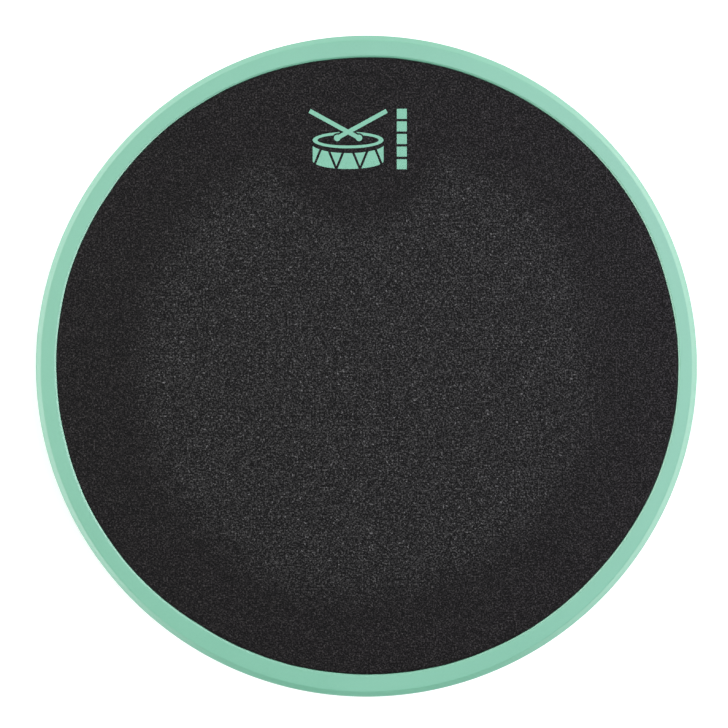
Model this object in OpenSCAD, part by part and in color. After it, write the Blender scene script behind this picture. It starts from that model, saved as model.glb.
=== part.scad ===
// Round drum practice pad.
// A thin rubber playing skin lies on a foam rebound pad and a fibre board. A coloured rubber boot
// grips the edge of the board and frames the skin. Below are a ribbed rubber base and a threaded
// plate for the rod of a stand. The pad lies on the XY plane, playing side up, with its origin at
// the middle of the resting face and the printed mark towards +Y.

/* [Overall] */
// Outside diameter of the pad
pad_d = 304.8; // [280:0.1:360]

/* [Playing skin] */
// Width of the coloured rim around the skin
rim_w = 9.7; // [7:0.1:16]
// Thickness of the skin
skin_t = 1.2; // [0.8:0.1:2]
// Depth of the skin below the top of the rim
skin_recess = 0.2; // [0.1:0.05:0.6]
// Radial gap between the skin and the rim
skin_gap = 0.2; // [0.1:0.05:0.5]

/* [Layers below the skin] */
// Thickness of the foam rebound pad
rebound_t = 8; // [4:0.5:12]
// Radial gap between the rebound pad and the rim
rebound_gap = 0.4; // [0.2:0.1:1]
// Thickness of each adhesive film
film_t = 0.2; // [0.1:0.05:0.4]
// Distance from the edge of each film to the edge of its layer
film_inset = 1; // [0.5:0.5:4]

/* [Core board] */
// Thickness of the fibre board
board_t = 12; // [11.5:0.5:18]
// Distance that the edge of the board runs into the boot
board_grip = 4.7; // [2:0.1:6]
// Chamfer on the edges of the board
board_chamfer = 0.5; // [0.3:0.1:1]

/* [Edge boot] */
// Width of the bevel on the outer top edge, seen from above
bevel_w = 2.6; // [1:0.1:3.6]
// Height of that bevel
bevel_h = 1.5; // [0.6:0.1:3]
// Radius of the outer bottom edge
bottom_radius = 2; // [1:0.1:3]
// Radius of the two inner lips
lip_radius = 0.6; // [0.2:0.1:0.8]
// Distance that the bottom lip reaches under the board
bottom_lip = 9.4; // [6:0.2:14]
// Height of the boot above the resting plane
boot_lift = 0.8; // [0.4:0.1:1.5]

/* [Grip base] */
// Thickness of the base without its ribs
base_web = 2; // [1.8:0.1:4]
// Height of the ribs
rib_h = 1; // [1:0.1:2]
// Width of a rib
rib_w = 4; // [2:0.5:6]
// Distance from rib to rib
rib_pitch = 12; // [8:0.5:14]
// Number of drain gaps across the inner ribs
drain_count = 6; // [3:1:8]
// Width of a drain gap
drain_w = 5; // [3:0.5:8]

/* [Thread plate] */
// Radius of the thread's core, 3.4 for M8
thread_r = 3.4; // [2.5:0.1:4]
// Diameter of the flange
plate_d = 34; // [32:1:40]
// Thickness of the flange
plate_t = 1.6; // [1.5:0.1:2]
// Diameter of the threaded barrel
barrel_d = 10; // [9.6:0.1:12]
// Length of the barrel above the flange
barrel_h = 9; // [6:0.5:9.5]

/* [Plate screws] */
// Number of screws
screw_count = 3; // [3:1:4]
// Diameter of the circle through the screws
screw_circle = 24; // [22:0.5:24]
// Diameter of a screw's shank
screw_d = 3; // [2.5:0.1:3.2]
// Diameter of a screw's countersunk head
screw_head_d = 6; // [5:0.1:6]
// Length of a screw
screw_l = 10; // [8:0.5:11]

/* [Printed mark] */
// Height of the drum and sticks
mark_h = 27.6; // [15:0.1:40]
// Distance from the edge of the skin to the middle of the mark
mark_inset = 38; // [30:1:60]
// Thickness of the ink
ink_t = 0.1; // [0.08:0.02:0.2]

/* [Hidden] */
$fn = 128;

// Radii, from the outside in
pad_r = pad_d / 2;
opening_r = pad_r - rim_w;
skin_r = opening_r - skin_gap;
rebound_r = opening_r - rebound_gap;
board_r = opening_r + board_grip;
base_hole_r = board_r - bottom_lip;
base_gap = 0.2;
base_r = base_hole_r - base_gap;
outer_rib_r = base_hole_r - rib_w;
plate_hole_r = plate_d / 2 + 0.5;

// Heights, from the resting plane up
base_top = rib_h + base_web;
board_z = base_top + film_t;
plate_z = board_z - plate_t;
board_top = board_z + board_t;
rebound_z = board_top + film_t;
rebound_top = rebound_z + rebound_t;
skin_z = rebound_top + film_t;
skin_top = skin_z + skin_t;
boot_top = skin_top + skin_recess;

// Clearances, and how far a cut runs past the surface that it opens
screw_gap = 0.05;
barrel_gap = 0.1;
barrel_end_gap = 1;
past = 1;

// Details of a screw
head_h = (screw_head_d - screw_d) / 2;
point_h = 2.5;
point_r = 0.3;
cross_w = 0.9;
cross_l = screw_head_d * 0.52;
cross_h = 1.1;

// The printed mark: a drum with crossed sticks and a column of squares, drawn 27.6 mm high
mark_drawn_h = 27.6;
mark_scale = mark_h / mark_drawn_h;
mark_at = [-4, skin_r - mark_inset, skin_top];
drum_at = [-4.4, -0.5];
drum_rx = 16.3;
drum_ry = 3.8;
drum_h = 9.5;
hoop_w = 2.2;
hoop_depth = 1.3;
shell_gap = 1.1;
lace_w = 1.1;
lace_count = 6;
stick_l = 25.9;
stick_w = 2;
stick_tip_r = 1.5;
stick_tip_at = [5, 1];
stick_angle = 28.7;
stick_gap = 0.7;
square_w = 4.6;
square_count = 5;
square_pitch = 5.8;
square_x = 20.3;

// A flat disc of radius r and thickness t at height z.
module layer(r, z, t) {
    translate([0, 0, z]) cylinder(r = r, h = t);
}

// What a quarter round of radius r takes off a corner, for a round centred on the origin.
module corner_cut(r) {
    difference() {
        square(r + past);
        circle(r);
    }
}

// What the bevel takes off the boot's outer top edge, for an edge at the origin.
module bevel_cut() {
    polygon([[-bevel_w, 0], [0, -bevel_h], [past, -bevel_h], [past, past], [-bevel_w, past]]);
}

// Places its children at each screw.
module at_screws() {
    for (i = [0 : screw_count - 1])
        rotate([0, 0, 90 + i * 360 / screw_count]) translate([screw_circle / 2, 0, plate_z]) children();
}

// A countersunk screw that points up, with the face of its head at z = 0, grown by gap.
module screw_body(gap = 0) {
    shank_r = screw_d / 2 + gap;
    cylinder(r1 = screw_head_d / 2 + gap, r2 = shank_r, h = head_h);
    cylinder(r = shank_r, h = screw_l - point_h);
    translate([0, 0, screw_l - point_h]) cylinder(r1 = shank_r, r2 = point_r, h = point_h);
}

// The cross slots in the head of a screw.
module cross_recess() {
    for (a = [0, 90])
        rotate([0, 0, a]) translate([-cross_l / 2, -cross_w / 2, -past])
            cube([cross_l, cross_w, cross_h + past]);
}

// A flat oval.
module oval(rx, ry) {
    polygon([for (a = [0 : 5 : 355]) [rx * cos(a), ry * sin(a)]]);
}

// A straight bar of width w from point a to point b.
module bar(a, b, w) {
    run = b - a;
    translate(a) rotate(atan2(run[1], run[0])) translate([0, -w / 2]) square([norm(run), w]);
}

// The drum's hoop, seen from above its edge.
module drum_hoop() {
    difference() {
        oval(drum_rx, drum_ry);
        oval(drum_rx - hoop_w, drum_ry - hoop_depth);
    }
}

// The drum's shell below the hoop, with a zigzag of laces left clear.
module drum_shell() {
    step = 2 * drum_rx / lace_count;
    foot = -drum_h - drum_ry;
    difference() {
        union() {
            translate([0, -drum_h]) oval(drum_rx, drum_ry);
            translate([-drum_rx, -drum_h]) square([2 * drum_rx, drum_h]);
        }
        translate([0, -shell_gap]) oval(drum_rx + past, drum_ry + shell_gap);
        for (i = [0 : 2 : lace_count - 1]) {
            x = -drum_rx + i * step;
            bar([x, foot], [x + step, 0], lace_w);
            bar([x + 2 * step, foot], [x + step, 0], lace_w);
        }
    }
}

// The two crossed sticks, grown by gap.
module sticks(gap = 0) {
    for (side = [-1, 1])
        scale([side, 1]) translate(stick_tip_at) rotate(180 - stick_angle) {
            circle(r = stick_tip_r + gap);
            translate([0, -stick_w / 2 - gap]) square([stick_l + gap, stick_w + 2 * gap]);
        }
}

// The drum with its sticks.
module drum() {
    difference() {
        union() {
            drum_hoop();
            drum_shell();
        }
        sticks(stick_gap);
    }
    sticks();
}

// The column of squares beside the drum.
module squares() {
    for (i = [0 : square_count - 1])
        translate([square_x, (i - (square_count - 1) / 2) * square_pitch]) square(square_w, center = true);
}

module playing_skin() {
    color("#292929") layer(skin_r, skin_z, skin_t);
}

module printed_mark() {
    color("#90cab4") translate(mark_at) scale(mark_scale) linear_extrude(ink_t / mark_scale) {
        translate(drum_at) drum();
        squares();
    }
}

module skin_film() {
    color("ivory") layer(rebound_r - film_inset, rebound_top, film_t);
}

module rebound_pad() {
    color("dimgray") layer(rebound_r, rebound_z, rebound_t);
}

module rebound_film() {
    color("ivory") layer(rebound_r - film_inset, board_top, film_t);
}

// The board, with a blind bore for the barrel and a pilot hole for each screw.
module core_board() {
    color("burlywood") difference() {
        rotate_extrude() difference() {
            translate([0, board_z]) square([board_r, board_t]);
            for (z = [board_z, board_top])
                translate([board_r, z]) rotate(45) square(board_chamfer * sqrt(2), center = true);
        }
        layer(barrel_d / 2 + barrel_gap, board_z - past, past + barrel_h + barrel_end_gap);
        at_screws() screw_body(screw_gap);
    }
}

// A ring of C section: the top lip frames the skin, and the bottom lip runs under the board.
module edge_boot() {
    color("#92cdb2") rotate_extrude() difference() {
        translate([base_hole_r, boot_lift]) square([pad_r - base_hole_r, boot_top - boot_lift]);
        translate([0, board_z]) square([opening_r, boot_top]);
        translate([0, board_z]) square([board_r, board_t]);
        translate([pad_r, boot_top]) bevel_cut();
        translate([pad_r - bottom_radius, boot_lift + bottom_radius]) rotate(-90) corner_cut(bottom_radius);
        translate([opening_r + lip_radius, boot_top - lip_radius]) rotate(90) corner_cut(lip_radius);
        translate([base_hole_r + lip_radius, boot_lift + lip_radius]) rotate(180) corner_cut(lip_radius);
    }
}

module base_film() {
    color("ivory") difference() {
        layer(base_r - film_inset, base_top, film_t);
        layer(plate_hole_r + film_inset, base_top - past, film_t + 2 * past);
    }
}

// The base, with round ribs below. The outermost rib is whole, and drain gaps cross the others.
module grip_base() {
    color("#303030") difference() {
        rotate_extrude() {
            translate([plate_hole_r, rib_h]) square([base_r - plate_hole_r, base_web]);
            for (r = [outer_rib_r : -rib_pitch : plate_hole_r + rib_w])
                translate([r - rib_w / 2, 0]) square([rib_w, rib_h + base_web / 2]);
        }
        for (i = [0 : drain_count - 1])
            rotate([0, 0, i * 360 / drain_count]) translate([0, -drain_w / 2, -past])
                cube([outer_rib_r - rib_pitch / 2, drain_w, rib_h + past]);
    }
}

module thread_plate() {
    color("silver") difference() {
        union() {
            layer(plate_d / 2, plate_z, plate_t);
            layer(barrel_d / 2, plate_z, plate_t + barrel_h);
        }
        layer(thread_r, plate_z - past, plate_t + barrel_h + 2 * past);
        at_screws() screw_body(screw_gap);
    }
}

module plate_screws() {
    color("gainsboro") at_screws() difference() {
        screw_body();
        cross_recess();
    }
}

playing_skin();
printed_mark();
skin_film();
rebound_pad();
rebound_film();
core_board();
edge_boot();
base_film();
grip_base();
thread_plate();
plate_screws();
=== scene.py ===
"""Drum practice pad: the looks of the pad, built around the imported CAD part.

Everything is in metres, in the part's own frame. The pad lies on the plane Z = 0 with its playing
skin up, and +Y points towards the printed mark.
"""

import math

import bmesh
import bpy
from mathutils import Matrix, Vector, noise


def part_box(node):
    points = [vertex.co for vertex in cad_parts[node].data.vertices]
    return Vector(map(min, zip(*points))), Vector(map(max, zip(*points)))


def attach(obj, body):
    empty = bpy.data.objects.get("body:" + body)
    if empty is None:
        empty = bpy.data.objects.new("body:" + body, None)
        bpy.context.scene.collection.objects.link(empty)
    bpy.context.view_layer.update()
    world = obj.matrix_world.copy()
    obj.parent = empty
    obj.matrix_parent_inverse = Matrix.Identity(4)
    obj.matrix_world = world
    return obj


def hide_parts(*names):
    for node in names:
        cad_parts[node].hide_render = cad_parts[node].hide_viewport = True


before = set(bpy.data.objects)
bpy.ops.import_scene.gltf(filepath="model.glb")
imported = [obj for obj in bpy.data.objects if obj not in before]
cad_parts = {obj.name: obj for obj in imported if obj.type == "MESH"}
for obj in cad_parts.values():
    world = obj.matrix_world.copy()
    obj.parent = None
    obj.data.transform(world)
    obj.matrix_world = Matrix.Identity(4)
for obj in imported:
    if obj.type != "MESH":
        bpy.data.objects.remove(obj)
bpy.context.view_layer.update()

MM = 0.001

# ------------------------------------------------------------------ sizes


def radius_of(node):
    """Outer radius of a round CAD node."""
    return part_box(node)[1].x


def heights_of(node):
    """Lowest and highest point of a CAD node."""
    low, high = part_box(node)
    return low.z, high.z


# From the frame, for each layer: R is its outer radius, Z its underside and TOP its top
PAD_R = radius_of("edge_boot")
BOOT_Z, BOOT_TOP = heights_of("edge_boot")
SKIN_R = radius_of("playing_skin")
SKIN_Z, SKIN_TOP = heights_of("playing_skin")
REBOUND_R = radius_of("rebound_pad")
REBOUND_Z, REBOUND_TOP = heights_of("rebound_pad")
BOARD_R = radius_of("core_board")
BOARD_Z, BOARD_TOP = heights_of("core_board")
BASE_R = radius_of("grip_base")
BASE_Z, BASE_TOP = heights_of("grip_base")
PLATE_R = radius_of("thread_plate")
PLATE_Z, PLATE_TOP = heights_of("thread_plate")

# Edge boot
OPENING_R = SKIN_R + 0.2 * MM
BASE_HOLE_R = BASE_R + 0.2 * MM
BEVEL_W = 2.6 * MM      # the sloping outer edge, seen from above
BEVEL_H = 1.5 * MM
BEVEL_IN_RADIUS = 1.3 * MM      # rounds where it meets the flat top and the wall
BEVEL_OUT_RADIUS = 0.8 * MM
BOTTOM_RADIUS = 2.0 * MM
LIP_RADIUS = 0.6 * MM
LIP_BEVEL_W = 0.75 * MM         # the sloping edge round the opening
LIP_BEVEL_H = 0.52 * MM
LIP_BEVEL_RADIUS = 0.8 * MM
LIP_EDGE_RADIUS = 0.12 * MM
SEAM_H = 0.09 * MM      # how far the mould's seam stands out of the wall
SEAM_W = 0.5 * MM
BOOT_COLUMNS = 512

# Playing skin: cut a little oval by hand and laid a little off centre
SKIN_OVAL = 0.6 * MM    # how much longer its radius is along X than its nominal size, and shorter along Y
SKIN_OFFSET = Vector((0.28, 0.28, 0.0)) * MM
SKIN_WAVER = 0.12 * MM
SKIN_WAVES = ((3, 0.6), (4, 2.2), (5, -1.2), (6, -2.0), (8, -1.6))     # waves in a turn, and their phase
SKIN_NICKS = 0.3 * MM
SKIN_GAP = 0.15 * MM    # cut this much smaller than its nominal size
SKIN_CELLS = 260
RELIEF = 0.02 * MM      # height of the uneven grain that is in the mesh
RELIEF_PITCH = 2.4 * MM
INK_T = 0.06 * MM
INK_CELL = 0.6 * MM
FOAM_GAP = 0.2 * MM     # how much smaller the foam is than its nominal size
FOAM_CELLS = 90
FILM_CELLS = 48

# Grip base
RIB_H = 1.0 * MM
RIB_W = 4.0 * MM
RIB_PITCH = 12.0 * MM
PLATE_HOLE_R = PLATE_R + 0.5 * MM
DRAIN_COUNT = 6
DRAIN_W = 5.0 * MM

# Thread plate and its screws
PLATE_T = 1.6 * MM
BARREL_R = 5.0 * MM
THREAD_MINOR_R = 3.4 * MM
THREAD_DEPTH = 0.58 * MM
THREAD_PITCH = 1.25 * MM
SCREW_COUNT = 3
SCREW_CIRCLE_R = 12.0 * MM
SCREW_L = 10.0 * MM
SCREW_HEAD_R = 3.0 * MM
SCREW_SHANK_R = 1.5 * MM
SCREW_CORE_R = 1.1 * MM
SCREW_PITCH = 1.2 * MM
SCREW_HEAD_H = 1.5 * MM
SCREW_POINT_H = 2.5 * MM
SCREW_GAP = 0.05 * MM   # between a screw and its hole
BLIND_BORE_R = 5.1 * MM
BLIND_BORE_H = 10.0 * MM

# ------------------------------------------------------------------ camera

CAMERA_LENS = 100.0
CAMERA_SENSOR = 36.0
VIEW_WIDTH = 335.42 * MM           # what the frame spans at the top of the pad's wall
CAMERA_OFFSET = Vector((-1.10, 0.99, 0.0)) * MM


def make_camera():
    """The camera looks straight down on the pad, with +Y up in the picture."""
    data = bpy.data.cameras.new("camera")
    data.lens = CAMERA_LENS
    data.sensor_width = CAMERA_SENSOR
    camera = bpy.data.objects.new("camera", data)
    distance = VIEW_WIDTH * CAMERA_LENS / CAMERA_SENSOR
    camera.location = CAMERA_OFFSET + Vector((0, 0, BOOT_TOP - BEVEL_H + distance))
    bpy.context.scene.collection.objects.link(camera)
    bpy.context.scene.camera = camera


make_camera()

# ------------------------------------------------------------------ node materials


def linear(red, green, blue):
    """A colour given in display values from 0 to 255, as the shader takes it."""
    def channel(value):
        value /= 255
        return value / 12.92 if value <= 0.04045 else ((value + 0.055) / 1.055) ** 2.4
    return channel(red), channel(green), channel(blue), 1.0


def tinted(value, red, green, blue):
    return value * red, value * green, value * blue, 1.0


def grey(value):
    return tinted(value, 1, 1, 1)


def add(tree, kind, inputs=(), **settings):
    """Adds a shader node. inputs pairs each socket with a value or with another node's output."""
    made = tree.nodes.new("ShaderNode" + kind)
    for key, value in settings.items():
        setattr(made, key, value)
    for key, value in inputs:
        if isinstance(value, bpy.types.NodeSocket):
            tree.links.new(value, made.inputs[key])
        else:
            made.inputs[key].default_value = value
    return made


def start_material(name, roughness, metallic=0.0, specular=0.5):
    """A new material, its node tree, its shader and the coordinates of the part's own frame."""
    material = bpy.data.materials.new(name)
    material.use_nodes = True
    tree = material.node_tree
    shader = tree.nodes["Principled BSDF"]
    shader.inputs["Roughness"].default_value = roughness
    shader.inputs["Metallic"].default_value = metallic
    shader.inputs["Specular IOR Level"].default_value = specular
    place = add(tree, "TexCoord").outputs["Object"]
    return material, tree, shader, place


def maths(tree, operation, first, second):
    return add(tree, "Math", [(0, first), (1, second)], operation=operation).outputs[0]


def vector_maths(tree, operation, first, second):
    """A vector, or a number where the operation gives one."""
    made = add(tree, "VectorMath", [(0, first), (1, second)], operation=operation)
    return made.outputs["Value" if operation == "DOT_PRODUCT" else "Vector"]


def length(tree, vector):
    return add(tree, "VectorMath", [(0, vector)], operation="LENGTH").outputs["Value"]


def noise_at(tree, place, pitch, detail=2.0, stretch=None):
    """Noise from 0 to 1 whose features are about pitch apart."""
    if stretch is not None:
        place = vector_maths(tree, "MULTIPLY", place, stretch)
    made = add(tree, "TexNoise", [
        ("Vector", place), ("Scale", 1 / pitch), ("Detail", detail), ("Roughness", 0.5)])
    return made.outputs["Fac"]


def cells_at(tree, place, pitch):
    """Distance from the middle of the nearest of many round cells that are about pitch apart."""
    return add(tree, "TexVoronoi", [("Vector", place), ("Scale", 1 / pitch)]).outputs["Distance"]


def mapped(tree, value, low, high, to_low=0.0, to_high=1.0, smooth=False):
    """The value's way from low to high, as a number between to_low and to_high."""
    made = add(tree, "MapRange", [
        ("Value", value), ("From Min", low), ("From Max", high), ("To Min", to_low), ("To Max", to_high)])
    if smooth:
        made.interpolation_type = "SMOOTHSTEP"
    return made.outputs["Result"]


def ramp(tree, value, stops):
    """A colour for each value, from stops of (value, colour)."""
    made = add(tree, "ValToRGB", [("Fac", value)])
    elements = made.color_ramp.elements
    while len(elements) < len(stops):
        elements.new(0.5)
    for element, (at, colour) in zip(elements, stops):
        element.position = at
        element.color = colour
    return made.outputs["Color"]


def mixed(tree, factor, first, second, blend="MIX"):
    """Two colours mixed. The node's colour sockets are 6 and 7, and its colour comes out at 2."""
    made = add(
        tree, "Mix", [(0, factor), (6, first), (7, second)], data_type="RGBA", blend_type=blend)
    return made.outputs[2]


def bump(tree, shader, height, distance, strength):
    """Raises the surface by up to distance where height is 1."""
    made = add(tree, "Bump", [("Height", height), ("Distance", distance), ("Strength", strength)])
    tree.links.new(made.outputs["Normal"], shader.inputs["Normal"])


# The skin's grain, and the lighter middle zone: partly where the sticks scuff it, partly a painted highlight
# of the light above
GRAIN_PITCH = 0.73 * MM
WIDE_GRAIN_PITCH = 1.15 * MM
CELL_PITCH = 1.1 * GRAIN_PITCH
PATCH_PITCH = 9 * GRAIN_PITCH
GLINT_PITCH = 0.9 * MM
SCUFF_AND_HIGHLIGHT_R = 104.5 * MM
SCUFF_AND_HIGHLIGHT_FADE = 12 * MM          # to each side of the zone's edge
SCUFF_AND_HIGHLIGHT_DRIFT = 9 * MM          # how far the zone's edge wanders
SCUFF_AND_HIGHLIGHT_DRIFT_PITCH = 50 * MM
SCUFF_AND_HIGHLIGHT_PATCH_PITCH = 16 * MM
SPARED_SIZE = (38 * MM, 39 * MM)  # half sizes of the oval around the mark that the sticks spare


def skin_grain(tree, place):
    """The grain of the moulded rubber: small rounded grains of uneven height, around 0.5."""
    lumps = maths(tree, "MULTIPLY", noise_at(tree, place, GRAIN_PITCH, detail=0), 0.9)
    wide_lumps = mapped(tree, noise_at(tree, place, WIDE_GRAIN_PITCH, detail=0), 0, 1, -0.122, 0.228)
    lumps = maths(tree, "ADD", lumps, wide_lumps)
    grains = cells_at(tree, place, CELL_PITCH)
    patches = noise_at(tree, place, PATCH_PITCH)
    uneven = maths(tree, "ADD", lumps, maths(tree, "MULTIPLY", patches, 0.08))
    return maths(tree, "SUBTRACT", uneven, maths(tree, "MULTIPLY", grains, 0.12))


def scuff_and_highlight_zone(tree, place):
    """1 in the lighter middle zone and 0 elsewhere: a round zone that leaves out the mark. It is partly
    where the sticks land and partly a painted highlight of the light above.
    """
    drift = mapped(
        tree, noise_at(tree, place, SCUFF_AND_HIGHLIGHT_DRIFT_PITCH), 0, 1, -SCUFF_AND_HIGHLIGHT_DRIFT, SCUFF_AND_HIGHLIGHT_DRIFT)
    reach = maths(tree, "ADD", length(tree, vector_maths(tree, "MULTIPLY", place, (1, 1, 0))), drift)
    zone = mapped(tree, reach, SCUFF_AND_HIGHLIGHT_R - SCUFF_AND_HIGHLIGHT_FADE, SCUFF_AND_HIGHLIGHT_R + SCUFF_AND_HIGHLIGHT_FADE, 1, 0, True)
    low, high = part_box("printed_mark")
    from_mark = vector_maths(tree, "SUBTRACT", place, (low + high) / 2)
    spared = (1 / SPARED_SIZE[0], 1 / SPARED_SIZE[1], 0)
    from_mark = length(tree, vector_maths(tree, "MULTIPLY", from_mark, spared))
    zone = maths(tree, "MULTIPLY", zone, mapped(tree, from_mark, 0.8, 1.2, smooth=True))
    patchy = mapped(tree, noise_at(tree, place, SCUFF_AND_HIGHLIGHT_PATCH_PITCH, detail=3), 0.3, 0.7, 0.82, 1.0)
    return maths(tree, "MULTIPLY", zone, patchy)


def skin_material():
    """Matt black rubber with a fine grain. The middle zone is lighter and glints: partly scuffing by the
    sticks, partly a painted highlight of the light above.
    """
    material, tree, shader, place = start_material("skin_rubber", 0.5, specular=0.13)
    grain = skin_grain(tree, place)
    # Painted glints and shade on the grain: its peaks get a lighter colour and its pits a darker one, on top
    # of the rubber's own uneven tone.
    plain = ramp(tree, grain, [(at, tinted(value, 1.0, 0.93, 0.90)) for at, value in (
        (0.36, 0.0014), (0.50, 0.0078), (0.64, 0.0172), (0.84, 0.0430))])
    # Colour of the lighter middle zone: partly stick scuffs, partly a painted highlight of the light above.
    scuffed_and_highlit = ramp(tree, grain, [(at, tinted(value, 1.0, 1.0, 0.96)) for at, value in (
        (0.36, 0.0010), (0.48, 0.0110), (0.64, 0.0302), (0.84, 0.0800))])
    # Painted highlight: a few bright glints in the base colour of the middle zone.
    glint = mapped(tree, noise_at(tree, place, GLINT_PITCH, detail=0), 0.76, 0.86, 0, 0.4)
    scuffed_and_highlit = mixed(tree, glint, scuffed_and_highlit, grey(0.30))
    colour = mixed(tree, scuff_and_highlight_zone(tree, place), plain, scuffed_and_highlit)
    tree.links.new(colour, shader.inputs["Base Color"])
    tree.links.new(mapped(tree, grain, 0.38, 0.60, 0.58, 0.34), shader.inputs["Roughness"])
    bump(tree, shader, grain, 0.22 * MM, 0.6)
    return material


def ink_material():
    """Screen-printed ink that lies on the grain, with a few pinholes."""
    material, tree, shader, place = start_material("mark_ink", 0.5, specular=0.6)
    grain = skin_grain(tree, place)
    tint = mixed(tree, noise_at(tree, place, 6 * MM), linear(110, 171, 145), linear(116, 179, 152))
    hole = mapped(tree, noise_at(tree, place, 0.8 * MM, detail=1), 0.735, 0.765)
    colour = mixed(tree, hole, tint, grey(0.05))
    tree.links.new(colour, shader.inputs["Base Color"])
    bump(tree, shader, grain, 0.10 * MM, 0.4)
    return material


def boot_material():
    """Satin moulded rubber in sea-foam green, with a fine skin and faint cloudiness."""
    material, tree, shader, place = start_material("boot_rubber", 0.4, specular=1.0)
    cloud = noise_at(tree, place, 45 * MM, detail=3)
    speck = noise_at(tree, place, 0.9 * MM, detail=2)
    tint = mixed(tree, mapped(tree, cloud, 0.3, 0.7), linear(108, 171, 143), linear(112, 175, 147))
    colour = mixed(tree, mapped(tree, speck, 0.35, 0.65, 0.0, 0.35), tint, linear(116, 178, 150))
    tree.links.new(colour, shader.inputs["Base Color"])
    cloudy, specked = mapped(tree, cloud, 0.3, 0.7, 0.31, 0.37), mapped(tree, speck, 0.3, 0.7, 0, 0.05)
    rough = maths(tree, "ADD", cloudy, specked)
    tree.links.new(rough, shader.inputs["Roughness"])
    fine = noise_at(tree, place, 0.35 * MM, detail=2)
    bump(tree, shader, fine, 0.02 * MM, 0.5)
    return material


def foam_material():
    """Closed-cell foam rubber: dark grey, with small open bubbles on its cut faces."""
    material, tree, shader, place = start_material("rebound_foam", 0.9, specular=0.2)
    bubbles = cells_at(tree, place, 0.7 * MM)
    # Painted shade: each bubble is darker towards its middle, where its hollow is deepest.
    colour = ramp(tree, bubbles, [(0.0, grey(0.016)), (0.45, grey(0.045)), (0.9, grey(0.085))])
    tree.links.new(colour, shader.inputs["Base Color"])
    bump(tree, shader, bubbles, 0.25 * MM, 0.8)
    return material


def board_material():
    """Medium-density fibre board: pressed brown fibres, with pale and dark flecks."""
    material, tree, shader, place = start_material("fibre_board", 0.75, specular=0.3)
    layers = noise_at(tree, place, 2.2 * MM, detail=4, stretch=(0.35, 0.35, 3.0))
    flecks = noise_at(tree, place, 0.5 * MM, detail=2)
    wood = ramp(tree, layers, [
        (0.3, linear(139, 103, 66)), (0.5, linear(170, 131, 88)), (0.7, linear(192, 154, 110))])
    colour = mixed(tree, mapped(tree, flecks, 0.62, 0.72), wood, linear(98, 68, 42))
    tree.links.new(colour, shader.inputs["Base Color"])
    bump(tree, shader, layers, 0.12 * MM, 0.5)
    return material


def adhesive_material():
    """A thin film of dried contact adhesive, honey coloured and uneven."""
    material, tree, shader, place = start_material("adhesive", 0.38, specular=0.5)
    streaks = noise_at(tree, place, 8 * MM, detail=4, stretch=(1.0, 0.3, 1.0))
    colour = ramp(tree, streaks, [
        (0.3, linear(196, 168, 110)), (0.55, linear(222, 203, 155)), (0.8, linear(236, 224, 190))])
    tree.links.new(colour, shader.inputs["Base Color"])
    bump(tree, shader, streaks, 0.15 * MM, 0.5)
    return material


def base_material():
    """Black non-slip rubber with a fine leathery skin."""
    material, tree, shader, place = start_material("base_rubber", 0.6, specular=0.35)
    skin = cells_at(tree, place, 0.55 * MM)
    cloud = noise_at(tree, place, 18 * MM, detail=4)
    tint = ramp(tree, cloud, [(0.3, grey(0.016)), (0.5, grey(0.024)), (0.75, grey(0.036))])
    dust = mapped(tree, noise_at(tree, place, 1.3 * MM, detail=3), 0.64, 0.8, 0.0, 0.5)
    colour = mixed(tree, dust, tint, grey(0.075))
    tree.links.new(colour, shader.inputs["Base Color"])
    tree.links.new(mapped(tree, cloud, 0.3, 0.7, 0.5, 0.68), shader.inputs["Roughness"])
    bump(tree, shader, skin, 0.12 * MM, 0.5)
    return material


def steel_material(name, tint, marks_pitch):
    """Zinc-plated steel with fine tool marks and a dull bloom."""
    material, tree, shader, place = start_material(name, 0.32, metallic=1.0)
    marks = noise_at(tree, place, marks_pitch, detail=3, stretch=(1.0, 1.0, 6.0))
    bloom = noise_at(tree, place, 5 * MM, detail=3)
    colour = mixed(tree, mapped(tree, bloom, 0.35, 0.7), tint, linear(172, 170, 160))
    tree.links.new(colour, shader.inputs["Base Color"])
    tree.links.new(mapped(tree, marks, 0.3, 0.7, 0.24, 0.42), shader.inputs["Roughness"])
    bump(tree, shader, marks, 0.01 * MM, 0.5)
    return material


FLOOR_SIZE = 24.0
FLOOR_GLOW = 0.3


def floor_material():
    """Plain pale studio floor, lit a little from below as on a light table."""
    material, tree, shader, place = start_material("floor_paper", 0.9, specular=0.1)
    colour = mixed(tree, noise_at(tree, place, 0.2), grey(0.88), grey(0.90))
    tree.links.new(colour, shader.inputs["Base Color"])
    shader.inputs["Emission Color"].default_value = grey(1.0)
    shader.inputs["Emission Strength"].default_value = FLOOR_GLOW
    return material


# ------------------------------------------------------------------ mesh building


SHARP_ANGLE = 40        # edges that turn further than this, in degrees, are shaded sharp
SLAB_SHARP_ANGLE = 50   # the same for the round slabs and the mark, so that their grain stays smooth
ROUND_COLUMNS = 256     # faces round a turned piece


def finish_mesh(name, mesh, smooth_under=SHARP_ANGLE):
    """An object for the mesh, with outward faces, smooth except across edges sharper than the angle."""
    bm = bmesh.new()
    bm.from_mesh(mesh)
    bmesh.ops.recalc_face_normals(bm, faces=bm.faces)
    bm.to_mesh(mesh)
    bm.free()
    mesh.shade_smooth()
    mesh.set_sharp_from_angle(angle=math.radians(smooth_under))
    made = bpy.data.objects.new(name, mesh)
    bpy.context.scene.collection.objects.link(made)
    return made


def revolve(name, rows, columns, point):
    """A closed surface around Z. point(row, column) gives each corner, and the last row meets the first."""
    corners = [point(row, column) for row in range(rows) for column in range(columns)]
    faces = []
    for row in range(rows):
        for column in range(columns):
            this, above = row * columns, (row + 1) % rows * columns
            right = (column + 1) % columns
            faces.append((this + column, this + right, above + right, above + column))
    mesh = bpy.data.meshes.new(name)
    mesh.from_pydata(corners, [], faces)
    return finish_mesh(name, mesh)


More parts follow.
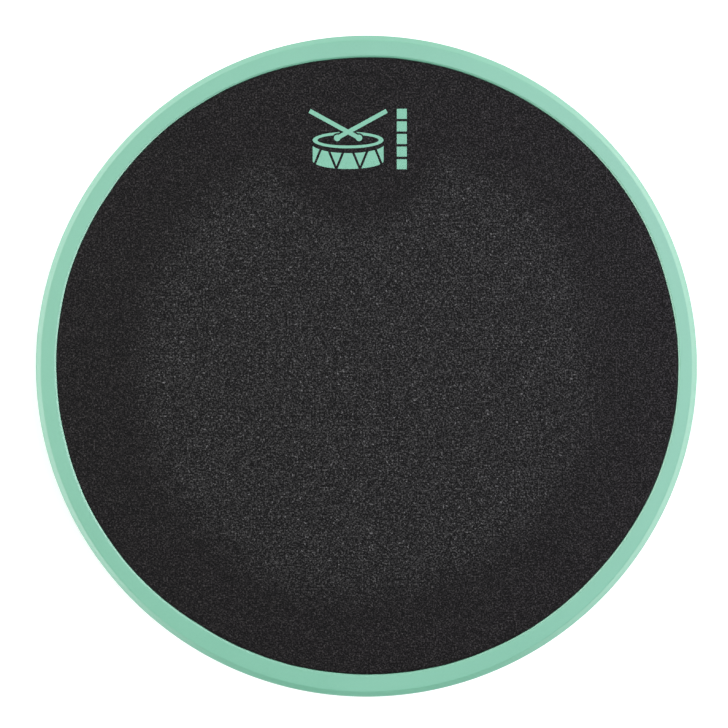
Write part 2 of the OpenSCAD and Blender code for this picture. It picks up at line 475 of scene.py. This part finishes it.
def turned(name, profile, columns=ROUND_COLUMNS):
    """A solid of revolution. profile is a closed loop of (radius, height, share of the skin's outline)."""
    def point(row, column):
        angle = math.tau * column / columns
        radius, height, share = profile[row]
        radius += share * skin_outline(angle)
        return radius * math.cos(angle), radius * math.sin(angle), height
    return revolve(name, len(profile), columns, point)


def rounded(before, corner, after, radius, steps):
    """Points along the round of a corner that lies between two straight runs."""
    before, corner, after = Vector(before), Vector(corner), Vector(after)
    to_before, to_after = (before - corner).normalized(), (after - corner).normalized()
    half = to_before.angle(to_after) / 2
    middle = corner + (to_before + to_after).normalized() * radius / math.sin(half)
    reach = radius / math.tan(half)
    first, last = (math.atan2(arm.y, arm.x) for arm in (
        corner + to_before * reach - middle, corner + to_after * reach - middle))
    sweep = (last - first + math.pi) % math.tau - math.pi
    return [
        (middle.x + radius * math.cos(first + sweep * step / steps),
         middle.y + radius * math.sin(first + sweep * step / steps), 0)
        for step in range(steps + 1)]


def arc(radius, centre_r, centre_z, start, end, steps):
    """Points along a round, from angle start to angle end in degrees."""
    points = []
    for step in range(steps + 1):
        angle = math.radians(start + (end - start) * step / steps)
        points.append((centre_r + radius * math.cos(angle), centre_z + radius * math.sin(angle), 0))
    return points


def skin_outline(angle):
    """How far the skin's hand-cut edge lies outside its nominal circle, at an angle about Z."""
    offset = SKIN_OFFSET.x * math.cos(angle) + SKIN_OFFSET.y * math.sin(angle)
    waver = sum(math.cos(waves * angle - phase) for waves, phase in SKIN_WAVES)
    direction = Vector((math.cos(angle), math.sin(angle), 0))
    nicks = noise.noise(direction * 5) + 0.3 * noise.noise(direction * 17)
    return SKIN_OVAL * math.cos(2 * angle) + offset + SKIN_WAVER * waver + SKIN_NICKS * nicks


def relief(x, y):
    """Height of the skin's grain at a point."""
    at = Vector((x, y, 0)) / RELIEF_PITCH
    return RELIEF * (noise.noise(at) + 0.6 * noise.noise(at * 2.1))


def square_to_disc(u, v):
    """Bends a square of side 2 into the unit disc, and keeps its cells about the same size."""
    if abs(u) < 1e-12 and abs(v) < 1e-12:
        return 0.0, 0.0
    if abs(u) > abs(v):
        reach, angle = u, math.pi / 4 * v / u
    else:
        reach, angle = v, math.pi / 2 - math.pi / 4 * u / v
    return reach * math.cos(angle), reach * math.sin(angle)


def round_slab(name, cells, radius_at, top_at, side):
    """A closed round slab: a grid of cells on top, then a loop for each (inset, height) of its side."""
    bm = bmesh.new()
    first_inset = side[0][0]
    grid = []
    for row in range(cells + 1):
        for column in range(cells + 1):
            x, y = square_to_disc(2 * column / cells - 1, 2 * row / cells - 1)
            size = radius_at(math.atan2(y, x)) - first_inset
            grid.append(bm.verts.new((x * size, y * size, top_at(x * size, y * size))))
    width = cells + 1
    for row in range(cells):
        for column in range(cells):
            low = row * width + column
            bm.faces.new((grid[low], grid[low + 1], grid[low + width + 1], grid[low + width]))
    border = [*range(width), *range(2 * width - 1, width * width, width),
              *range(width * width - 2, width * cells - 1, -1), *range(width * (cells - 1), 0, -width)]
    loop = [grid[i] for i in border]
    angles = [math.atan2(vert.co.y, vert.co.x) for vert in loop]
    for inset, height in side[1:]:
        below = []
        for angle in angles:
            size = radius_at(angle) - inset
            below.append(bm.verts.new((size * math.cos(angle), size * math.sin(angle), height)))
        for i, vert in enumerate(loop):
            after = (i + 1) % len(loop)
            bm.faces.new((loop[after], vert, below[i], below[after]))
        loop = below
    centre = bm.verts.new((0, 0, side[-1][1]))
    for i, vert in enumerate(loop):
        bm.faces.new((loop[(i + 1) % len(loop)], vert, centre))
    mesh = bpy.data.meshes.new(name)
    bm.to_mesh(mesh)
    bm.free()
    return finish_mesh(name, mesh, SLAB_SHARP_ANGLE)


def cut_away(target, cutter):
    """Takes the cutter's shape out of the target, and removes the cutter."""
    modifier = target.modifiers.new("cut", "BOOLEAN")
    modifier.object = cutter
    modifier.solver = "EXACT"
    bpy.context.view_layer.update()
    evaluated = target.evaluated_get(bpy.context.evaluated_depsgraph_get())
    mesh = bpy.data.meshes.new_from_object(evaluated)
    target.modifiers.clear()
    target.data = mesh
    mesh.set_sharp_from_angle(angle=math.radians(SHARP_ANGLE))
    bpy.data.objects.remove(cutter)


def belongs(piece, node, material):
    """The piece stands for the CAD node, rides on the pad's only body and takes the material."""
    piece.data.materials.clear()
    piece.data.materials.append(material)
    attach(piece, "root")
    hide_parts(node)
    return piece


# ------------------------------------------------------------------ playing skin and its mark


def make_skin():
    """The skin: a grained disc with a hand-cut outline and a slightly worn top edge."""
    edge = 0.16 * MM
    side = [(edge, SKIN_TOP), (0.3 * edge, SKIN_TOP - 0.3 * edge), (0.0, SKIN_TOP - edge), (0.0, SKIN_Z)]
    return round_slab(
        "skin", SKIN_CELLS,
        lambda angle: SKIN_R - SKIN_GAP + skin_outline(angle),
        lambda x, y: SKIN_TOP + relief(x, y),
        side)


def settle_order(bm):
    """Puts the corners and the faces in an order that is the same on every run."""
    for i, vert in enumerate(sorted(bm.verts, key=lambda vert: vert.co[:])):
        vert.index = i
    bm.verts.sort()
    for i, face in enumerate(sorted(bm.faces, key=lambda face: face.calc_center_median()[:])):
        face.index = i
    bm.faces.sort()


def make_mark():
    """The ink: the CAD mark's outline, cut into small cells that lie on the skin's grain."""
    bm = bmesh.new()
    bm.from_mesh(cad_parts["printed_mark"].data)
    bmesh.ops.remove_doubles(bm, verts=bm.verts, dist=0.001 * MM)
    middle = sum(heights_of("printed_mark")) / 2
    lower = [face for face in bm.faces if face.normal.z < 0.9 or face.calc_center_median().z < middle]
    bmesh.ops.delete(bm, geom=lower, context="FACES")
    low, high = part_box("printed_mark")
    for axis in (0, 1):
        normal = Vector((1 - axis, axis, 0))
        for step in range(1, int((high[axis] - low[axis]) / INK_CELL) + 1):
            line = normal * (low[axis] + step * INK_CELL)
            bmesh.ops.bisect_plane(
                bm, geom=[*bm.verts, *bm.edges, *bm.faces], plane_co=line, plane_no=normal, dist=1e-9)
    top = list(bm.faces)
    bottom = bmesh.ops.extrude_face_region(bm, geom=top)
    for item in bottom["geom"]:
        if isinstance(item, bmesh.types.BMVert):
            item.co.z = SKIN_TOP + relief(item.co.x, item.co.y) - 0.5 * INK_T
            item.tag = True
    for vert in bm.verts:
        if not vert.tag:
            vert.co.z = SKIN_TOP + relief(vert.co.x, vert.co.y) + INK_T
    settle_order(bm)
    mesh = bpy.data.meshes.new("mark")
    bm.to_mesh(mesh)
    bm.free()
    return finish_mesh("mark", mesh, SLAB_SHARP_ANGLE)


# ------------------------------------------------------------------ layers under the skin


def make_foam():
    """The foam slab: its side swells a little, because the board and the skin hold its edges."""
    swell = 0.12 * MM
    cut_round = 0.25 * MM
    steps = 8
    side = [(cut_round, REBOUND_TOP)]
    for step in range(1, steps):
        share = step / steps
        height = REBOUND_TOP + (REBOUND_Z - REBOUND_TOP) * share
        side.append((-swell * math.sin(math.pi * share), height))
    side.append((cut_round, REBOUND_Z))
    return round_slab(
        "foam", FOAM_CELLS,
        lambda angle: REBOUND_R - FOAM_GAP + skin_outline(angle),
        lambda x, y: REBOUND_TOP,
        side)


def make_film(name, node, inner_r=None):
    """A film of adhesive, with the uneven edge that a brush leaves. With inner_r it is a ring."""
    low, high = heights_of(node)
    outer_r = radius_of(node)
    margin = 0.3 * MM

    def ragged(angle):
        direction = Vector((math.cos(angle), math.sin(angle), 0))
        return 0.4 * MM * noise.noise(direction * 23 + Vector((0, 0, low / MM)))

    if inner_r is None:
        return round_slab(
            name, FILM_CELLS, lambda angle: outer_r + ragged(angle) - margin,
            lambda x, y: high, [(0.05 * MM, high), (0.0, low)])

    def point(row, column):
        angle = math.tau * column / ROUND_COLUMNS
        radius = outer_r - margin if row in (0, 1) else inner_r + margin
        radius += ragged(angle)
        height = low if row in (0, 3) else high
        return radius * math.cos(angle), radius * math.sin(angle), height
    return revolve(name, 4, ROUND_COLUMNS, point)


def make_board():
    """The fibre board, with a blind bore for the plate's barrel and a pilot hole for each screw."""
    chamfer = 0.5 * MM
    bore_chamfer = 0.3 * MM
    near_axis = 0.02 * MM
    bore_top = BOARD_Z + BLIND_BORE_H
    profile = [
        (near_axis, BOARD_TOP, 0), (BOARD_R - chamfer, BOARD_TOP, 0), (BOARD_R, BOARD_TOP - chamfer, 0),
        (BOARD_R, BOARD_Z + chamfer, 0), (BOARD_R - chamfer, BOARD_Z, 0), (BLIND_BORE_R, BOARD_Z, 0),
        (BLIND_BORE_R, bore_top - bore_chamfer, 0), (BLIND_BORE_R - bore_chamfer, bore_top, 0),
        (near_axis, bore_top, 0)]
    board = turned("board", profile)
    for x, y in screw_places():
        pilot = turned("pilot", screw_outline(), 32)
        pilot.location = (x, y, PLATE_Z)
        cut_away(board, pilot)
    return board


# ------------------------------------------------------------------ edge boot


def make_boot():
    """The boot's C section. Its opening follows the skin's outline, and a faint mould seam runs round it."""
    wall_low, wall_high = BOOT_Z + BOTTOM_RADIUS, BOOT_TOP - BEVEL_H
    seam_z = (wall_low + wall_high) / 2
    seam = [(PAD_R + SEAM_H * height, seam_z + SEAM_W * along, 0)
            for along, height in ((-0.8, 0), (-0.5, 0), (-0.25, 0.35), (-0.08, 1),
                                  (0.08, 1), (0.25, 0.35), (0.5, 0), (0.8, 0))]
    hold = 0.12 * MM       # short faces that keep the shading of the flats flat
    profile = [(BASE_HOLE_R, BOARD_Z, 0)]
    profile += arc(LIP_RADIUS, BASE_HOLE_R + LIP_RADIUS, BOOT_Z + LIP_RADIUS, 180, 270, 6)
    profile += [(BASE_HOLE_R + LIP_RADIUS + hold, BOOT_Z, 0), (PAD_R - BOTTOM_RADIUS - hold, BOOT_Z, 0)]
    profile += arc(BOTTOM_RADIUS, PAD_R - BOTTOM_RADIUS, wall_low, 270, 360, 12)
    profile += [(PAD_R, wall_low + hold, 0)] + seam
    edge_out, edge_in = (PAD_R, wall_high), (PAD_R - BEVEL_W, BOOT_TOP)
    out_round = rounded((PAD_R, seam_z), edge_out, edge_in, BEVEL_OUT_RADIUS, 8)
    in_round = rounded(edge_out, edge_in, (OPENING_R, BOOT_TOP), BEVEL_IN_RADIUS, 8)
    profile += [(PAD_R, out_round[0][1] - hold, 0)] + out_round + in_round
    lip_in, lip_out = (OPENING_R, BOOT_TOP - LIP_BEVEL_H), (OPENING_R + LIP_BEVEL_W, BOOT_TOP)
    lip = rounded(edge_in, lip_out, lip_in, LIP_BEVEL_RADIUS, 6)
    lip += rounded(lip_out, lip_in, (OPENING_R, BOARD_TOP), LIP_EDGE_RADIUS, 4)
    flat_out, flat_in = in_round[-1][0] - hold, lip[0][0] + hold
    profile.append((flat_out, BOOT_TOP, 0))
    for share in (0.25, 0.5, 0.75):
        profile.append((flat_out + (flat_in - flat_out) * share, BOOT_TOP, share))
    profile.append((flat_in, BOOT_TOP, 1))
    profile += [(radius, height, 1) for radius, height, _ in lip]
    profile += [(OPENING_R, BOARD_TOP, 1), (BOARD_R, BOARD_TOP, 0), (BOARD_R, BOARD_Z, 0)]
    return turned("boot", profile, BOOT_COLUMNS)


# ------------------------------------------------------------------ grip base


def make_base():
    """The ribbed base. Its columns bend so that the drain gaps have straight, parallel sides."""
    half_gap = DRAIN_W / 2
    ramp_w = 0.5 * MM
    rib_columns = 56
    # Each column of a sector: distance from the gap's middle, in metres or as a share of the rest
    beside = [(0.0, 0.0), (half_gap - ramp_w, 0.0), (half_gap - 0.6 * ramp_w, 0.35),
              (half_gap - 0.2 * ramp_w, 0.9), (half_gap, 1.0)]
    columns = []
    for distance, full in beside:
        columns.append(("after", distance, full))
    for step in range(1, rib_columns):
        columns.append(("between", step / rib_columns, 1.0))
    for distance, full in reversed(beside[1:]):
        columns.append(("before", distance, full))
    sector = math.tau / DRAIN_COUNT

    def column_angle(column, radius):
        part, value, _ = columns[column % len(columns)]
        start = column // len(columns) * sector
        edge = math.asin(half_gap / radius)
        if part == "after":
            return start + math.asin(value / radius)
        if part == "before":
            return start + sector - math.asin(value / radius)
        return start + edge + (sector - 2 * edge) * value

    # Half a rib's section: distance from its middle in metres, and share of its height
    slope = [(0.0, 1.0), (RIB_W / 2 - 0.7 * MM, 1.0), (RIB_W / 2 - 0.3 * MM, 0.92),
             (RIB_W / 2 - 0.08 * MM, 0.6), (RIB_W / 2 + 0.05 * MM, 0.15), (RIB_W / 2 + 0.3 * MM, 0.0)]
    outer_rib_r = BASE_HOLE_R - RIB_W
    below = []
    radius = outer_rib_r
    while radius > PLATE_HOLE_R + RIB_W:
        crossed = radius < outer_rib_r
        edge_room = BASE_R - radius
        outward = [(min(distance, edge_room - 0.02 * MM), share) for distance, share in slope]
        section = [(radius + distance, share) for distance, share in reversed(outward)]
        section += [(radius - distance, share) for distance, share in slope[1:]]
        below += [(r, share, crossed) for r, share in section]
        radius -= RIB_PITCH
    rows = [(BASE_R, None, False), (BASE_R, 0.0, False)] + below
    rows += [(PLATE_HOLE_R, 0.0, False), (PLATE_HOLE_R, None, False)]

    def point(row, column):
        radius, share, crossed = rows[row]
        angle = column_angle(column, radius)
        full = columns[column % len(columns)][2] if crossed else 1.0
        height = BASE_TOP if share is None else BASE_Z + RIB_H * (1 - share * full)
        return radius * math.cos(angle), radius * math.sin(angle), height
    return revolve("base", len(rows), len(columns) * DRAIN_COUNT, point)


# ------------------------------------------------------------------ thread plate and screws


def screw_places():
    """Where each screw stands on the plate."""
    angles = [math.radians(90 + 360 * i / SCREW_COUNT) for i in range(SCREW_COUNT)]
    return [(SCREW_CIRCLE_R * math.cos(a), SCREW_CIRCLE_R * math.sin(a)) for a in angles]


def screw_outline():
    """The outline of a hole for a screw. It starts below the head's face, so that it cuts right through."""
    near_axis = 0.01 * MM
    overshoot = 1 * MM
    head = SCREW_HEAD_R + SCREW_GAP
    shank = SCREW_SHANK_R + SCREW_GAP
    return [
        (near_axis, -overshoot, 0), (head, -overshoot, 0), (head, 0, 0), (shank, SCREW_HEAD_H, 0),
        (shank, SCREW_L - SCREW_POINT_H, 0), (0.3 * MM, SCREW_L, 0), (near_axis, SCREW_L, 0)]


def helix_wave(angle, height, pitch):
    """0 to 1 and back, once for each pitch along a helix."""
    turn = (height / pitch - angle / math.tau) % 1.0
    return 1 - abs(2 * turn - 1)


def make_thread_plate():
    """The flanged nut: an M8 thread in the barrel, and a countersunk hole for each screw."""
    columns = 96
    steps = 110
    mouth = 0.7 * MM
    edge = 0.25 * MM
    flange_top = PLATE_Z + PLATE_T
    outside = [
        (THREAD_MINOR_R + mouth, PLATE_Z), (PLATE_R - edge, PLATE_Z), (PLATE_R, PLATE_Z + edge),
        (PLATE_R, flange_top - edge), (PLATE_R - edge, flange_top), (BARREL_R + 0.5 * MM, flange_top),
        (BARREL_R, flange_top + 0.5 * MM), (BARREL_R, PLATE_TOP - edge), (BARREL_R - edge, PLATE_TOP),
        (THREAD_MINOR_R + mouth, PLATE_TOP)]
    bore_low, bore_high = PLATE_Z + mouth, PLATE_TOP - mouth

    def point(row, column):
        angle = math.tau * column / columns
        if row < len(outside):
            radius, height = outside[row]
        else:
            height = bore_high + (bore_low - bore_high) * (row - len(outside)) / (steps - 1)
            crest = min(1.0, 1.6 * helix_wave(angle, height, THREAD_PITCH))
            radius = THREAD_MINOR_R + THREAD_DEPTH * (1 - crest)
        return radius * math.cos(angle), radius * math.sin(angle), height
    plate = revolve("thread_plate_m8", len(outside) + steps, columns, point)
    for x, y in screw_places():
        hole = turned("hole", screw_outline(), 48)
        hole.location = (x, y, PLATE_Z)
        cut_away(plate, hole)
    return plate


def make_screw():
    """One countersunk wood screw, its head's face at height 0 and its point up."""
    columns = 48
    steps = 90
    smooth_h = 0.8 * MM
    rim = 0.12 * MM
    thread_z = SCREW_HEAD_H + smooth_h
    start = [
        (0.01 * MM, 0.0), (SCREW_HEAD_R - rim, 0.0), (SCREW_HEAD_R, rim),
        (SCREW_SHANK_R, SCREW_HEAD_H), (SCREW_SHANK_R, thread_z)]

    def point(row, column):
        angle = math.tau * column / columns
        if row < len(start):
            radius, height = start[row]
        else:
            height = thread_z + (SCREW_L - thread_z) * (row - len(start) + 1) / steps
            taper = min(1.0, (SCREW_L - height) / SCREW_POINT_H)
            ridge = helix_wave(angle, height, SCREW_PITCH) ** 2
            radius = taper * (SCREW_CORE_R + (SCREW_SHANK_R - SCREW_CORE_R) * ridge) + 0.01 * MM
        return radius * math.cos(angle), radius * math.sin(angle), height
    screw = revolve("screw", len(start) + steps, columns, point)
    for angle in (0, math.pi / 2):
        cut_away(screw, make_slot(angle))
    return screw


def make_slot(angle):
    """One slot of the cross recess, which narrows towards its floor."""
    half_l, half_w, depth = 1.6 * MM, 0.45 * MM, 1.1 * MM
    bm = bmesh.new()
    bmesh.ops.create_cube(bm, size=2)
    for vert in bm.verts:
        floor = vert.co.z > 0
        vert.co.x *= half_l * (0.45 if floor else 1.15)
        vert.co.y *= half_w * (0.7 if floor else 1.05)
        vert.co.z = depth if floor else -0.3 * MM
    bmesh.ops.rotate(bm, verts=bm.verts, cent=(0, 0, 0), matrix=Matrix.Rotation(angle, 3, "Z"))
    mesh = bpy.data.meshes.new("slot")
    bm.to_mesh(mesh)
    bm.free()
    return finish_mesh("slot", mesh)


def make_screws():
    """The three screws as one piece, each turned to its own angle."""
    screw = make_screw()
    bm = bmesh.new()
    for turn, (x, y) in enumerate(screw_places()):
        copy = screw.data.copy()
        copy.transform(Matrix.Translation((x, y, PLATE_Z)) @ Matrix.Rotation(0.7 + 1.1 * turn, 4, "Z"))
        bm.from_mesh(copy)
    mesh = bpy.data.meshes.new("screws")
    bm.to_mesh(mesh)
    bm.free()
    bpy.data.objects.remove(screw)
    return finish_mesh("screws", mesh)


# ------------------------------------------------------------------ floor and light


def make_floor():
    """The floor that the pad lies on. It is staging, and no part of the pad."""
    bpy.ops.mesh.primitive_plane_add(size=FLOOR_SIZE)
    floor = bpy.context.object
    floor.name = "floor"
    floor.data.materials.append(floor_material())


# The studio: a soft box high on each side of the camera, and a long curved screen on each side and behind
BOXES = [                 # angle about Z, angle above the floor, colour, and half the width
    (18, 68, tinted(4.5, 1.01, 0.97, 1.2), 21),
    (168, 65, tinted(2.4, 1.0, 1.0, 0.93), 23),
]
BOX_EDGE = 0.25           # share of a box's width that is evenly bright
SCREENS = [               # angle about Z, radiance, and half the width
    (1, 7.9, 73),
    (178, 7.0, 74),
    (90, 2.6, 54),
]
SCREEN_EDGE = 0.36
SCREEN_FOOT = (0.23, 0.36)         # sines of the rise over which the screens' light begins and ends
SCREEN_TOP = (0.47, 0.55)
HORIZON = (0.04, 0.10)    # sines of the rise over which the pale floor's ring ends
HORIZON_LIGHT = 0.92


def cosine(degrees):
    return math.cos(math.radians(degrees))


def make_light():
    """The studio's light. What the camera sees past the floor is plain white."""
    world = bpy.data.worlds.new("studio")
    world.use_nodes = True
    tree = world.node_tree
    direction = add(tree, "TexCoord").outputs["Generated"]
    level = vector_maths(tree, "MULTIPLY", direction, (1, 1, 0))
    level = add(tree, "VectorMath", [(0, level)], operation="NORMALIZE").outputs["Vector"]
    height = add(tree, "SeparateXYZ", [("Vector", direction)]).outputs["Z"]
    screens = 0.0
    for turn, radiance, half in SCREENS:
        facing = vector_maths(tree, "DOT_PRODUCT", level, (cosine(turn), cosine(turn - 90), 0))
        glow = mapped(tree, facing, cosine(half), cosine(SCREEN_EDGE * half), 0, radiance, True)
        screens = maths(tree, "ADD", glow, screens)
    screens = maths(tree, "MULTIPLY", screens, mapped(tree, height, *SCREEN_FOOT, smooth=True))
    total = maths(tree, "MULTIPLY", screens, mapped(tree, height, *SCREEN_TOP, 1, 0, True))
    for turn, rise, colour, half in BOXES:
        towards = (cosine(turn) * cosine(rise), cosine(turn - 90) * cosine(rise), cosine(rise - 90))
        facing = vector_maths(tree, "DOT_PRODUCT", direction, towards)
        glow = mapped(tree, facing, cosine(half), cosine(BOX_EDGE * half), smooth=True)
        total = mixed(tree, glow, total, colour, "ADD")
    above = mapped(tree, height, *HORIZON, smooth=True)
    studio = mixed(tree, above, grey(HORIZON_LIGHT), total)
    seen = mixed(tree, add(tree, "LightPath").outputs["Is Camera Ray"], studio, grey(1.0))
    tree.links.new(seen, tree.nodes["Background"].inputs["Color"])
    scene = bpy.context.scene
    scene.world = world
    scene.view_settings.view_transform = "Standard"


# ------------------------------------------------------------------ the whole pad

skin = belongs(make_skin(), "playing_skin", skin_material())
mark = belongs(make_mark(), "printed_mark", ink_material())
foam = belongs(make_foam(), "rebound_pad", foam_material())
belongs(make_board(), "core_board", board_material())
belongs(make_boot(), "edge_boot", boot_material())
belongs(make_base(), "grip_base", base_material())
zinc = steel_material("zinc_steel", linear(184, 187, 190), 0.6 * MM)
belongs(make_thread_plate(), "thread_plate", zinc)
bright = steel_material("screw_steel", linear(198, 199, 200), 0.4 * MM)
belongs(make_screws(), "plate_screws", bright)
glue = adhesive_material()
belongs(make_film("skin_glue", "skin_film"), "skin_film", glue)
belongs(make_film("rebound_glue", "rebound_film"), "rebound_film", glue)
belongs(make_film("base_glue", "base_film", PLATE_HOLE_R + 1 * MM), "base_film", glue)

make_floor()
make_light()
